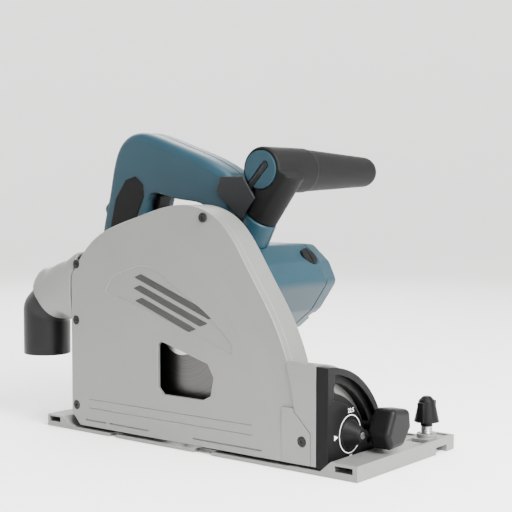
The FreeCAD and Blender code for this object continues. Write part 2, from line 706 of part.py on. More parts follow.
def make_bearing_plate():
    plate = motor_loft(gear_room_end + 0.05, plate_end, 0.855, 0.855, 5)
    spindle_seat = along_y(spindle_x, spindle_z, small_bearing_radius, gear_room_end - 1,
                           gear_room_end + 0.5 + small_bearing_width)
    motor_seat = along_y(motor_x, motor_z, armature_bearing_radius, plate_end - armature_bearing_width, plate_end + 1)
    shaft_hole = along_y(motor_x, motor_z, armature_shaft_radius + 1.5, gear_room_end - 1, plate_end)
    below = along_y(spindle_x, spindle_z, small_bearing_radius, gear_room_end - 1, gear_room_end + 0.5)
    return cut(plate, [spindle_seat, motor_seat, shaft_hole, below])


fan_start = plate_end + 2.0
fan_width = 9.0
baffle_start = fan_start + fan_width + 0.8
core_start = baffle_start + 6.0
core_length = 40.0
commutator_start = core_start + core_length + 8.0
commutator_length = 13.0
end_bearing_start = commutator_start + commutator_length + 3.0
end_cap_start = end_bearing_start - 1.0
brush_y = commutator_start + commutator_length / 2
brush_direction = V(0.776, 0, 0.63)


def make_motor_housing():
    shell = motor_loft(plate_end, end_cap_start, 1.02, 1.0, 8)
    room = motor_loft(plate_end - 1, end_cap_start + 1, 0.87, 0.87, 6)
    carrier = along_y(motor_x, motor_z, stator_radius + 3, core_start, core_start + core_length)
    carrier = carrier.cut(along_y(motor_x, motor_z, stator_radius, core_start - 1, core_start + core_length + 1))
    carrier = carrier.common(motor_loft(core_start, core_start + core_length, 0.95, 0.95, 6))
    web = motor_loft(end_cap_start - 3, end_cap_start, 0.9, 0.9, 6)
    web = web.cut(along_y(motor_x, motor_z, 24, 0, 200))
    housing = fuse([shell.cut(room), carrier, web])
    housing = housing.cut(along_y(motor_x, motor_z, stator_radius, core_start, core_start + core_length))
    openings = []
    for side in (1, -1):
        origin = V(motor_x, brush_y, motor_z)
        openings.append(Part.makeCylinder(8.0 + running_gap, 60, origin, brush_direction * side))
    for row in range(5):
        openings.append(box(motor_x - 60, motor_x - 20, fan_start + 1, fan_start + fan_width - 1,
                            motor_z - 14 + row * 7, motor_z - 10.5 + row * 7))
    return cut(housing, openings)


def make_motor_end_cover():
    shell = motor_loft(end_cap_start, motor_end, 1.0, 0.97, 8)
    room = motor_loft(end_cap_start - 1, motor_end - 3, 0.9, 0.9, 6)
    seat = along_y(motor_x, motor_z, small_bearing_radius + 3, end_bearing_start, motor_end - 2)
    cover = fuse([shell.cut(room), seat])
    bore = along_y(motor_x, motor_z, small_bearing_radius, end_bearing_start - 1,
                   end_bearing_start + small_bearing_width)
    tail = along_y(motor_x, motor_z, armature_shaft_radius + 1, end_bearing_start, end_bearing_start + 9)
    vents = []
    for row in range(6):
        z = motor_z - 26 + row * 9.5
        for x0, x1 in ((motor_x - 30, motor_x - 16), (motor_x + 15, motor_x + 26)):
            vents.append(box(x0, x1, motor_end - 5, motor_end + 1, z, z + 4))
    return cut(cover, [bore, tail] + vents)


def make_baffle():
    ring = motor_loft(baffle_start, baffle_start + 2, 0.865, 0.865, 6)
    return ring.cut(along_y(motor_x, motor_z, 20, 0, 200))


def make_stator_core():
    core = along_y(motor_x, motor_z, stator_radius, core_start, core_start + core_length)
    core = core.cut(along_y(motor_x, motor_z, stator_bore, 0, 200))
    windows = []
    for side in (1, -1):
        windows.append(along_y(motor_x, motor_z + side * 20, 6.5, 0, 200))
    return cut(core, windows)


def make_stator_coils():
    ring = along_y(motor_x, motor_z, 27, core_start - 4, core_start - 0.1)
    ring = ring.cut(along_y(motor_x, motor_z, 18, 0, 200))
    rear = along_y(motor_x, motor_z, 27, core_start + core_length + 0.1, core_start + core_length + 4)
    rear = rear.cut(along_y(motor_x, motor_z, 18, 0, 200))
    return Part.makeCompound([ring, rear])


def make_armature():
    rod = along_y(motor_x, motor_z, armature_shaft_radius, gear_room_end + 0.8, end_bearing_start + small_bearing_width + 0.6)
    pinion = gear(motor_x, motor_z, pinion_teeth, gear_room_start + 1, gear_room_end - 0.6, pinion_phase)
    neck = along_y(motor_x, motor_z, pinion_radius - 1.3 * module, gear_room_end - 1, gear_room_end + 1.5)
    core = along_y(motor_x, motor_z, armature_radius, core_start, core_start + core_length)
    slots = []
    for index in range(12):
        x, z = around(armature_radius, index * 30, motor_x, motor_z)
        slots.append(along_y(x, z, 1.6, core_start - 1, core_start + core_length + 1))
    ends = [along_y(motor_x, motor_z, 13.5, core_start - 5, core_start),
            along_y(motor_x, motor_z, 13.5, core_start + core_length, core_start + core_length + 5)]
    return fuse([rod, pinion, neck, core.cut(Part.makeCompound(slots))] + ends)


def ring_on_shaft(outer, start, length):
    ring = along_y(motor_x, motor_z, outer, start, start + length)
    return ring.cut(along_y(motor_x, motor_z, armature_shaft_radius, start - 1, start + length + 1))


def make_commutator():
    ring = ring_on_shaft(11.0, commutator_start, commutator_length)
    slits = []
    for index in range(24):
        slit = box(motor_x + 9.5, motor_x + 12, commutator_start - 1, commutator_start + commutator_length + 1,
                   motor_z - 0.25, motor_z + 0.25)
        slit.rotate(V(motor_x, 0, motor_z), V(0, 1, 0), index * 15)
        slits.append(slit)
    return ring.cut(Part.makeCompound(slits))


def make_fan():
    hub = ring_on_shaft(9.0, fan_start, fan_width)
    disc = ring_on_shaft(27.2, fan_start, 1.6)
    parts = [hub, disc]
    for index in range(11):
        vane = box(motor_x + 8.5, motor_x + 26.8, fan_start + 1, fan_start + fan_width, motor_z - 0.7, motor_z + 0.7)
        vane.rotate(V(motor_x, 0, motor_z), V(0, 1, 0), index * 360 / 11)
        parts.append(vane)
    return fuse(parts)


def brush_tube(start, end, radius, side):
    origin = V(motor_x, brush_y, motor_z) + brush_direction * (side * start)
    return Part.makeCylinder(radius, end - start, origin, brush_direction * side)


cap_face = 43.5


def make_brush_holders():
    tubes = [brush_tube(12.2, 33.5, 5.5, s).cut(brush_tube(12, 34, 3.6, s)) for s in (1, -1)]
    return Part.makeCompound(tubes)


def make_carbon_brushes():
    return Part.makeCompound([brush_tube(11.2, 26, 3.3, s) for s in (1, -1)])


def make_brush_caps():
    caps = []
    for side in (1, -1):
        cap = brush_tube(34, cap_face, 8.0, side)
        slot = brush_tube(cap_face - 1.2, cap_face + 1, 7.0, side)
        blade = box(motor_x - 60, motor_x + 60, brush_y - 0.8, brush_y + 0.8, motor_z - 60, motor_z + 60)
        caps.append(cap.cut(slot.common(blade)))
    return Part.makeCompound(caps)


# ---- gears, spindle and blade ----
def gear(cx, cz, teeth, y0, y1, phase):
    """Spur gear with straight-sided teeth, thin enough at the pitch line to run free."""
    tip = module * (teeth / 2 + 0.85)
    root = module * (teeth / 2 - 1.2)
    middle = module * teeth / 2
    step = 360.0 / teeth
    outline = []
    for index in range(teeth):
        centre = phase + index * step
        for radius, share in ((root, -0.36), (middle, -0.215), (tip, -0.10), (tip, 0.10),
                              (middle, 0.215), (root, 0.36)):
            outline.append(around(radius, centre + share * step, cx, cz))
    return slab_y(outline, y0, y1)


gear_phase = motor_direction
pinion_phase = motor_direction + 180 + 180.0 / pinion_teeth


def make_spindle():
    rod = along_y(spindle_x, spindle_z, 6.0, boss_start + 0.6, gear_room_end + 0.5)
    tail = along_y(spindle_x, spindle_z, 4.0, gear_room_end, gear_room_end + 7.4)
    collar = along_y(spindle_x, spindle_z, 8.0, boss_start - 0.2, boss_start + 0.8)
    nose = along_y(spindle_x, spindle_z, 5.0, -blade_body / 2, boss_start)
    thread = along_y(spindle_x, spindle_z, 3.0, -5, 14)
    return fuse([rod, tail, collar, nose]).cut(thread)


def make_spindle_gear():
    wheel = gear(spindle_x, spindle_z, gear_teeth, gear_room_start + 1.2, gear_room_end - 0.8, gear_phase)
    return wheel.cut(along_y(spindle_x, spindle_z, 6.0, 0, 60))


def make_inner_flange():
    disc = along_y(spindle_x, spindle_z, 19.0, blade_body / 2, boss_start - 0.4)
    hub = along_y(spindle_x, spindle_z, blade_bore / 2 - 0.02, -blade_body / 2 + 0.2, blade_body / 2)
    return fuse([disc, hub]).cut(along_y(spindle_x, spindle_z, 5.0, -5, 20))


def make_saw_blade():
    step = 360.0 / tooth_count
    outline = []
    for index in range(tooth_count):
        for radius, share in ((blade_radius - 0.3, 0.0), (blade_radius - 2.5, 0.30),
                              (blade_radius - 6.0, 0.62), (blade_radius - 7.0, 0.80),
                              (blade_radius - 5.0, 0.94)):
            outline.append(around(radius, (index + share) * step, spindle_x, spindle_z))
    disc = slab_y(outline, -blade_body / 2, blade_body / 2)
    bore = along_y(spindle_x, spindle_z, blade_bore / 2, -5, 5)
    holes = []
    for index in range(4):
        x, z = around(blade_radius - 24, 45 + index * 90, spindle_x, spindle_z)
        holes.append(along_y(x, z, 4.0, -5, 5))
    tips = []
    for index in range(tooth_count):
        tip = box(blade_radius - 3.6, blade_radius, -1.1, 1.1, -1.0, 0.6)
        tip.rotate(V(0, 0, 0), V(0, 1, 0), -index * step)
        tip.translate(V(spindle_x, 0, spindle_z))
        tips.append(tip)
    return fuse([cut(disc, [bore] + holes)] + tips)


def make_outer_flange():
    disc = along_y(spindle_x, spindle_z, 19.0, -blade_body / 2 - 3.0, -blade_body / 2)
    return disc.cut(along_y(spindle_x, spindle_z, 3.0 + screw_gap, -10, 5))


def make_blade_bolt():
    head = along_y(spindle_x, spindle_z, 6.5, -9.3, -blade_body / 2 - 3.0)
    shank = along_y(spindle_x, spindle_z, 3.0, -blade_body / 2 - 3.0, 12)
    socket = hexagon_y(spindle_x, spindle_z, 5.0, -10, -6.0)
    return fuse([head, shank]).cut(socket)


def hexagon_y(x, z, flats, y0, y1):
    corner = flats / math.sqrt(3)
    return slab_y([around(corner, 60 * k, x, z) for k in range(6)], y0, y1)


def ball_bearing(x, z, bore, outer, y0, width):
    ring = along_y(x, z, outer, y0, y0 + width)
    ring = ring.cut(along_y(x, z, bore, y0 - 1, y0 + width + 1))
    groove = Part.makeTorus((bore + outer) / 2, 0.9, V(x, y0, z), V(0, 1, 0))
    far = Part.makeTorus((bore + outer) / 2, 0.9, V(x, y0 + width, z), V(0, 1, 0))
    return cut(ring, [groove, far])


def make_ball_bearings():
    return Part.makeCompound([
        ball_bearing(spindle_x, spindle_z, 6.0 + running_gap, spindle_bearing_radius, boss_start + 0.8, bearing_width),
        ball_bearing(spindle_x, spindle_z, 4.0 + running_gap, small_bearing_radius, gear_room_end + 0.5, small_bearing_width),
        ball_bearing(motor_x, motor_z, armature_shaft_radius + running_gap, armature_bearing_radius,
                     plate_end - armature_bearing_width, armature_bearing_width),
        ball_bearing(motor_x, motor_z, armature_shaft_radius + running_gap, small_bearing_radius,
                     end_bearing_start, small_bearing_width)])


# ---- handle ----
handle_right_face = handle_middle - handle_width / 2
handle_left_face = handle_middle + handle_width / 2
handle_outer = [(-154, 150), (-152.5, 165), (-145, 193), (-138, 222), (-131.5, 235), (-122, 243),
                (-110, 246), (-89, 242), (-59, 232), (-31, 222), (-10, 211)]
handle_inner = [(-104, 156), (-97, 184), (-92, 194), (-78, 193), (-56, 189), (-34, 185), (-24, 176)]


handle_lower = [(0, 198), (-4, 176), (-6, 158), (-8, 145), (-20, 140), (-40, 112), (-146, 114)]
handle_hole_lower = [(-30, 163), (-64, 150), (-98, 148)]


def loop_solid(smooth, straight, inset, y0, y1):
    """Slab with an outline that is smooth through the first points and straight along the others."""
    corners = [V(x, y0, z) for x, z in inset_points(smooth + straight, inset)]
    curve = Part.BSplineCurve()
    curve.interpolate(corners[:len(smooth)])
    sides = Part.makePolygon(corners[len(smooth) - 1:] + corners[:1]).Edges
    return Part.Face(Part.Wire([curve.toShape()] + sides)).extrude(V(0, y1 - y0, 0))


def handle_solid(inset):
    y0 = handle_right_face + inset
    y1 = handle_left_face - inset
    body = loop_solid(handle_outer, handle_lower, inset, y0, y1)
    if not inset:
        flat = [e for e in body.Edges if abs(e.Vertexes[0].Y - e.Vertexes[-1].Y) < 0.1]
        body = body.makeFillet(8.0, flat)
    return body, loop_solid(handle_inner, handle_hole_lower, -inset, y0, y1)


def trigger_room():
    return box(-112, -86, handle_middle - 7.5, handle_middle + 7.5, 154, 197)


def lock_off_room():
    room = Part.makeBox(30, 15, 31, V(-10, handle_middle - 7.5, -15.5))
    room.rotate(V(0, handle_middle, 0), V(0, 1, 0), lock_off_tilt)
    room.translate(V(-137, 0, 208))
    return room


lock_off_tilt = 13.5
def handle_half(side):
    """Half of the closed rear handle, with the collar that carries the front grip."""
    outer, hole = handle_solid(0)
    inner, inner_hole = handle_solid(handle_wall)
    cavity = inner.cut(inner_hole)
    direction = neck_high - neck_low
    collar = Part.makeCone(15, 13.2, direction.Length * 0.97, neck_low - direction * 0.35, direction)
    bosses = [along_y(x, z, 4.6, handle_right_face + 1, handle_left_face - 1) for x, z in handle_screw_places]
    shell = fuse([outer.cut(hole).cut(cavity), collar] + bosses)
    openings = [trigger_room(), lock_off_room(), gland_hole(), dial_room(), make_front_grip(),
                motor_loft(plate_end, end_cap_start, 1.02, 1.0, 8), trigger_pin()]
    openings += make_grip_pads()
    for x, z in handle_screw_places:
        openings.append(along_y(x, z, 3.8, handle_left_face - 4, handle_left_face + 1))
        openings.append(along_y(x, z, 2.0, handle_right_face + 4, handle_left_face))
    y0, y1 = (0, handle_middle) if side < 0 else (handle_middle, 120)
    return cut(shell.common(box(-200, 60, y0, y1, 100, 260)), openings)


neck_low = V(3.6, 57, 157)
neck_high = V(20.4, 57, 185)


gland_place = V(-146, handle_middle, 128)


def gland_hole():
    return Part.makeCylinder(6.0, 30, gland_place - V(12, 0, 6), V(1, 0, 0.2))


def make_cord_gland():
    sleeve = Part.makeCylinder(6.0 - screw_gap, 15, gland_place - V(9, 0, 5.4), V(1, 0, 0.2))
    bore = Part.makeCylinder(3.8, 40, gland_place - V(20, 0, 8), V(1, 0, 0.2))
    return sleeve.cut(bore)


dial_x, dial_z = -104.0, 119.0


def dial_room():
    return box(dial_x - 9.5, dial_x + 9.5, handle_middle - 4, handle_middle + 4, dial_z - 9, dial_z + 9.4)


def make_speed_dial():
    wheel = along_y(dial_x, dial_z, 8.6, handle_middle - 3, handle_middle + 3)
    notches = []
    for index in range(18):
        x, z = around(8.8, index * 20, dial_x, dial_z)
        notches.append(along_y(x, z, 0.7, handle_middle - 4, handle_middle + 4))
    return wheel.cut(Part.makeCompound(notches)).cut(along_y(dial_x, dial_z, 1.5 + running_gap, 0, 100))


def make_handle_right():
    axle = along_y(dial_x, dial_z, 1.5, handle_right_face + 1, handle_middle + 3)
    return fuse([handle_half(-1), axle, trigger_pin()])


trigger_pivot = (-95.5, 191.0)


def make_trigger():
    lever = slab_y([(-97, 195), (-90, 192), (-92.5, 184), (-90.5, 172), (-97, 158), (-105, 158), (-106, 176)],
                   handle_middle - 7, handle_middle + 7)
    eye = along_y(*trigger_pivot, 1.5 + running_gap, 0, 100)
    return lever.cut(eye)


def trigger_pin():
    return along_y(*trigger_pivot, 1.5, handle_middle - 15, handle_middle + 12)


def make_switch_body():
    body = box(-134, -112, handle_middle - 9, handle_middle + 9, 160, 192)
    plunger = box(-112, -109.5, handle_middle - 3, handle_middle + 3, 166, 172)
    return fuse([body, plunger])


def make_controller():
    return box(-88, -68, handle_middle - 10, handle_middle + 10, 120, 142)


def make_lock_off():
    pad = Part.makeBox(6, 14, 29.6, V(-6.2, handle_middle - 7, -14.8))
    stem = Part.makeBox(8, 8, 12, V(-1, handle_middle - 4, -6))
    whole = fuse([pad, stem])
    whole.rotate(V(0, handle_middle, 0), V(0, 1, 0), lock_off_tilt)
    whole.translate(V(-137, 0, 208))
    return whole


def make_grip_pads():
    """Soft pad on each cheek of the rear grip, let in 1.2 mm and 0.8 mm proud."""
    pads = []
    outline = [(-139, 168), (-133, 190), (-121, 206), (-110, 209), (-101, 202), (-100, 192),
               (-106, 180), (-111, 168), (-117, 152), (-142, 152)]
    for y0, y1 in ((handle_right_face - 0.8, handle_right_face + 0.6),
                   (handle_left_face - 0.6, handle_left_face + 0.8)):
        pads.append(slab_y(outline, y0, y1))
    return pads


handle_screw_places = [(-143, 181), (-104, 236), (-40, 212), (-128, 130)]


def make_housing_screws():
    screws = []
    for x, z in handle_screw_places:
        head = along_y(x, z, 3.6, handle_left_face - 4, handle_left_face - 1)
        shank = along_y(x, z, 2.0, handle_right_face + 5, handle_left_face - 4)
        socket = along_y(x, z, 1.6, handle_left_face - 2.4, handle_left_face)
        screws.append(fuse([head, shank]).cut(socket))
    return Part.makeCompound(screws)


# ---- front grip ----
def make_grip_bracket(neighbours):
    """Plate that ties the handle's front end to the neck of the front grip."""
    face = handle_right_face
    panel = slab_y([(-20, 196), (-15, 208), (8, 208), (20, 191), (6, 174)], face - 1.4, face)
    block = slab_y([(-6, 205), (8, 205), (16, 192), (2, 178)], face - 1.4, face + 20)
    return cut(panel.fuse(block), neighbours + [wrench_slot(3.2)])


def make_front_grip():
    barrel = along_y(grip_x, grip_z, grip_radius, grip_start, 98)
    taper = tapered_y(grip_x, grip_z, grip_radius - 0.6, 13, 98, 187)
    tip = Part.makeSphere(13, V(grip_x, 187, grip_z))
    rim = [e for e in barrel.Edges if abs(e.CenterOfMass.y - grip_start) < 0.1]
    barrel = barrel.makeFillet(2.5, rim)
    direction = neck_high - neck_low
    neck = Part.makeCone(12.6, 16.5, 46, neck_low + direction * 0.62, direction)
    grip = fuse([barrel, taper, tip, neck.common(box(-30, 80, grip_start, 90, 160, 222))])
    cap_seat = along_y(grip_x, grip_z, 15.0, grip_start - 1, grip_start + 4)
    return cut(grip, [cap_seat, wrench_bore(3.2), wrench_slot(3.2)])


wrench_long = (grip_x + 4.5, grip_z + 3.5)
wrench_turn = 227.0


def wrench_slot(half_width):
    slot = box(0, 28, grip_start - 2, grip_start + 5, -half_width, half_width)
    slot.rotate(V(0, 0, 0), V(0, 1, 0), -wrench_turn)
    slot.translate(V(wrench_long[0], 0, wrench_long[1]))
    return slot


def wrench_bore(radius):
    return along_y(*wrench_long, radius, grip_start - 2, grip_start + 76)


def make_grip_cap():
    disc = along_y(grip_x, grip_z, 15.0 - screw_gap, grip_start - 0.6, grip_start + 4)
    return cut(disc, [wrench_slot(3.2), wrench_bore(3.2)])


def make_hex_wrench():
    long_arm = hexagon_y(*wrench_long, 5.0, grip_start - 1.2, grip_start + 70)
    short = hexagon_y(0, 0, 5.0, 0, 24)
    short.rotate(V(0, 0, 0), V(0, 0, 1), -90)
    short.rotate(V(0, 0, 0), V(0, 1, 0), -wrench_turn)
    short.translate(V(wrench_long[0], grip_start + 1.3, wrench_long[1]))
    return fuse([long_arm, short])


# ---- bevel clamps ----
def make_front_clamp():
    start = guide_x + guide_thickness
    rod = along_x(clamp_hole_y, clamp_hole_z, 3.0, guide_x - 12, start + 14)
    washer = along_x(clamp_hole_y, clamp_hole_z, 7.0, start + 0.3, start + 2)
    hub = along_x(clamp_hole_y, clamp_hole_z, 8.5, start + 2, start + 14)
    paddle = slab_x([(clamp_hole_y - 19, clamp_hole_z - 2), (clamp_hole_y - 10, clamp_hole_z + 16),
                     (clamp_hole_y + 12, clamp_hole_z + 13), (clamp_hole_y + 14, clamp_hole_z),
                     (clamp_hole_y + 4, clamp_hole_z - 12), (clamp_hole_y - 14, clamp_hole_z - 13)],
                    start + 8, start + 26)
    paddle = paddle.makeFillet(4.0, paddle.Edges)
    return fuse([rod, washer, hub, paddle])


def make_rear_clamp():
    end = rear_guide_end
    rod = along_x(rear_hole_y, rear_hole_z, 3.0, end - 8, cover_rear + 3.5)
    washer = along_x(rear_hole_y, rear_hole_z, 7.0, end - 2, end - 0.3)
    knob = along_x(rear_hole_y, rear_hole_z, 9.0, end - 16, end - 2)
    lobes = [along_x(*around(9, k * 120 + 90, rear_hole_y, rear_hole_z), 4.5, end - 16, end - 6) for k in range(3)]
    return fuse([rod, washer, knob] + lobes)


# ---- write every node ----
def write_parts():
    os.makedirs("parts", exist_ok=True)
    base = make_base_plate()
    handle_right = make_handle_right()
    handle_left = handle_half(1)
    grip = make_front_grip()
    nodes = {
        "base_plate": base,
        "guide_screws": make_guide_screws(),
        "front_angular_guide": make_front_guide(base),
        "rear_angular_guide": make_rear_guide(base),
        "positive_stop_dial": make_stop_dial(),
        "stop_dial_screw": make_stop_dial_screw(),
        "fence_screw_front": thumb_screw(front_screw_x, slot_floor + fence_slot_height, boss_top),
        "fence_screw_rear": thumb_screw(rear_screw_x, rear_slot_floor + fence_slot_height, boss_top - 1.5),
        "fence_springs": make_fence_springs(),
        "rail_cam_front": rail_cam(100),
        "rail_cam_rear": rail_cam(-110),
        "slide_lever": make_slide_lever(),
        "bevel_clamp_front": make_front_clamp(),
        "bevel_clamp_rear": make_rear_clamp(),
        "blade_case": make_blade_case(),
        "blade_cover": make_blade_cover(),
        "cover_screws": make_cover_screws(),
        "depth_scale": make_depth_scale(),
        "depth_stop": make_depth_stop(),
        "depth_stop_knob": make_depth_stop_knob(),
        "dust_nozzle": make_dust_nozzle(),
        "pivot_shaft": make_pivot_shaft(),
        "pivot_bushes": make_pivot_bushes(),
        "return_spring": make_return_spring(),
        "gear_housing": make_gear_housing(),
        "bearing_plate": make_bearing_plate(),
        "shaft_lock_button": make_shaft_lock(),
        "ball_bearings": make_ball_bearings(),
        "spindle": make_spindle(),
        "spindle_gear": make_spindle_gear(),
        "inner_flange": make_inner_flange(),
        "saw_blade": make_saw_blade(),
        "outer_flange": make_outer_flange(),
        "blade_bolt": make_blade_bolt(),
        "motor_housing": make_motor_housing(),
        "motor_end_cover": make_motor_end_cover(),
        "fan_baffle": make_baffle(),
        "stator_core": make_stator_core(),
        "stator_coils": make_stator_coils(),
        "armature": make_armature(),
        "commutator": make_commutator(),
        "fan": make_fan(),
        "brush_holders": make_brush_holders(),
        "carbon_brushes": make_carbon_brushes(),
        "brush_caps": make_brush_caps(),
        "handle_right": handle_right,
        "handle_left": handle_left,
        "housing_screws": make_housing_screws(),
        "grip_pads": Part.makeCompound(make_grip_pads()),
        "switch_body": make_switch_body(),
        "speed_controller": make_controller(),
        "speed_dial": make_speed_dial(),
        "cord_gland": make_cord_gland(),
        "lock_off_button": make_lock_off(),
        "trigger": make_trigger(),
        "grip_bracket": make_grip_bracket([handle_right, handle_left, grip]),
        "front_grip": grip,
        "grip_cap": make_grip_cap(),
        "hex_wrench": make_hex_wrench(),
    }
    for name, shape in nodes.items():
        shape.exportStep("parts/" + name + ".step")
        print(name, shape.isValid(), len(shape.Solids), round(shape.Volume / 1000, 2))


write_parts()
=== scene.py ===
import json
import math

import bmesh
import bpy
from mathutils import Matrix, Vector


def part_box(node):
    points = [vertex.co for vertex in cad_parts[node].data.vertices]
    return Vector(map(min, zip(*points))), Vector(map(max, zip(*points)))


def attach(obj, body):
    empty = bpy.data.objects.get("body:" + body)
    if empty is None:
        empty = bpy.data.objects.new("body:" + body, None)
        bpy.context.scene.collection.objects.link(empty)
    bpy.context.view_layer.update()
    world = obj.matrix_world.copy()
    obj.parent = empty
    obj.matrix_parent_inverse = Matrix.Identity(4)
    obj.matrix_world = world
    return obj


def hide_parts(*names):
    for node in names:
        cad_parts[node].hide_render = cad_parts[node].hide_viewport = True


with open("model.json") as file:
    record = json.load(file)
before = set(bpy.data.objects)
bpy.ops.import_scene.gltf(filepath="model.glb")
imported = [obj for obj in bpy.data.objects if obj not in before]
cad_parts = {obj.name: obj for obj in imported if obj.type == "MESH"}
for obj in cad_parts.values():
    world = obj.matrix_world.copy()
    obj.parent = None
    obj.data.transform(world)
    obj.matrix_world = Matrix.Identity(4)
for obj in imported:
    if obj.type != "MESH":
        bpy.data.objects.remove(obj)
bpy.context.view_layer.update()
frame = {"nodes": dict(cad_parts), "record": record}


# ---- camera, floor and light ----
# The saw stands on a pale sheet that curves up into a wall all round, as in a studio cove, with no horizon.
# A soft key light on the right is filled by a rim light, an overhead light and the even white surroundings.
azimuth = math.radians(38.5)
pitch = math.atan(62 / 1138)
across = Vector((math.cos(azimuth), math.sin(azimuth), 0))
backward = Vector((math.sin(azimuth) * math.cos(pitch), -math.cos(azimuth) * math.cos(pitch),
                   math.sin(pitch)))
upward = backward.cross(across)
lens = bpy.data.cameras.new("camera")
lens.lens = 80
lens.sensor_width = 36
lens.clip_start = 0.01
camera = bpy.data.objects.new("camera", lens)
camera_place = (0.5698, -0.6486, 0.1940)
turned = Matrix((across, upward, backward)).transposed().to_4x4()
camera.matrix_world = Matrix.Translation(camera_place) @ turned
bpy.context.scene.collection.objects.link(camera)
bpy.context.scene.camera = camera


def linear(code):
    """Linear colour with alpha from an sRGB hex code."""
    channels = [int(code[i:i + 2], 16) / 255 for i in (1, 3, 5)]
    return [c / 12.92 if c <= 0.04045 else ((c + 0.055) / 1.055) ** 2.4 for c in channels] + [1.0]


def add(tree, kind, settings, links):
    """Adds one node, sets its properties and sockets, and links its inputs."""
    node = tree.nodes.new(kind)
    for name, value in settings.items():
        if isinstance(name, int) or name in node.inputs:
            node.inputs[name].default_value = value
        else:
            setattr(node, name, value)
    for name, source in links.items():
        tree.links.new(source, node.inputs[name])
    return node


def surface(name, settings):
    """New material: its node tree, its shader and the object coordinates in metres."""
    made = bpy.data.materials.new(name)
    made.use_nodes = True
    tree = made.node_tree
    shader = tree.nodes["Principled BSDF"]
    for key, value in settings.items():
        shader.inputs[key].default_value = value
    place = add(tree, "ShaderNodeTexCoord", {}, {})
    return made, tree, shader, place.outputs["Object"]


def per_metre(millimetres):
    """Noise scale whose features are this many millimetres across."""
    return 1000 / millimetres


# Translucent white sheet, lit a little from behind like a light table, and matt, so it mirrors nothing.
# Its tone varies slightly over patches of about 400 mm.
sheet, tree, shader, place = surface("matt_white_backdrop_sheet", {"Roughness": 0.75,
                                                                   "Emission Color": linear("#FFFFFF"),
                                                                   "Emission Strength": 0.18})
cloud = add(tree, "ShaderNodeTexNoise", {"Scale": per_metre(400), "Detail": 2.0}, {"Vector": place})
tone = add(tree, "ShaderNodeMix", {"data_type": "RGBA", 6: linear("#F3F3F2"), 7: linear("#FAFAF9")},
           {0: cloud.outputs["Fac"]})
tree.links.new(tone.outputs[2], shader.inputs["Base Color"])
flat_radius, cove_radius, wall_top, floor_gap, around = 1.9, 1.0, 2.6, 0.0003, 72
profile = [(flat_radius, -floor_gap)]
for bend in range(15, 91, 15):
    profile.append((flat_radius + cove_radius * math.sin(math.radians(bend)),
                    cove_radius - floor_gap - cove_radius * math.cos(math.radians(bend))))
profile.append((flat_radius + cove_radius, wall_top))
points = [(r * math.cos(2 * math.pi * i / around), r * math.sin(2 * math.pi * i / around), z)
          for r, z in profile for i in range(around)]
sides = [(k * around + i, (k + 1) * around + i,
          (k + 1) * around + (i + 1) % around, k * around + (i + 1) % around)
         for k in range(len(profile) - 1) for i in range(around)]
floor_mesh = bpy.data.meshes.new("floor")
floor_mesh.from_pydata(points, [], sides + [tuple(range(around))])
floor_mesh.shade_smooth()
floor_mesh.materials.append(sheet)
floor = bpy.data.objects.new("floor", floor_mesh)
bpy.context.scene.collection.objects.link(floor)

world = bpy.data.worlds.new("studio")
world.use_nodes = True
surroundings = world.node_tree.nodes["Background"]
surroundings.inputs["Color"].default_value = linear("#FFFFFF")
surroundings.inputs["Strength"].default_value = 0.42
bpy.context.scene.world = world
lit_point = Vector((0, 0.05, 0.1))
for title, spot, size, energy in (("key_light", (1.25, -0.3, 1.1), 0.8, 118),
                                  ("rim_light", (-1.0, 0.9, 1.1), 0.9, 20),
                                  ("top_light", (0.1, 0.1, 1.6), 0.9, 22)):
    lamp = bpy.data.lights.new(title, "AREA")
    lamp.size = size
    lamp.energy = energy
    light = bpy.data.objects.new(title, lamp)
    light.location = spot
    light.rotation_euler = (Vector(spot) - lit_point).to_track_quat("Z", "Y").to_euler()
    bpy.context.scene.collection.objects.link(light)


# ---- base plate ----
# The base is one pressure die casting of aluminium alloy, machined flat underneath.
# It carries the fence-rod slots at both ends and a raised hat that rides on the guide rail.
body_of = {node: body for body, nodes in frame["record"]["behaviour"]["bodies"].items() for node in nodes}


def rounded_normal(tree, radius_mm, height, depth_mm):
    """Normal with softened edges and a fine surface relief, and a mask that is bright on edges."""
    soft = add(tree, "ShaderNodeBevel", {"samples": 6, "Radius": radius_mm / 1000}, {})
    relief = add(tree, "ShaderNodeBump", {"Distance": depth_mm / 1000, "Strength": 0.9},
                 {"Height": height, "Normal": soft.outputs["Normal"]})
    flat = add(tree, "ShaderNodeNewGeometry", {}, {})
    alike = add(tree, "ShaderNodeVectorMath", {"operation": "DOT_PRODUCT"},
                {0: soft.outputs["Normal"], 1: flat.outputs["Normal"]})
    edge = add(tree, "ShaderNodeMapRange",
               {"From Min": 0.995, "From Max": 0.86, "To Min": 0.0, "To Max": 1.0},
               {"Value": alike.outputs["Value"]})
    return relief.outputs["Normal"], edge.outputs["Result"]


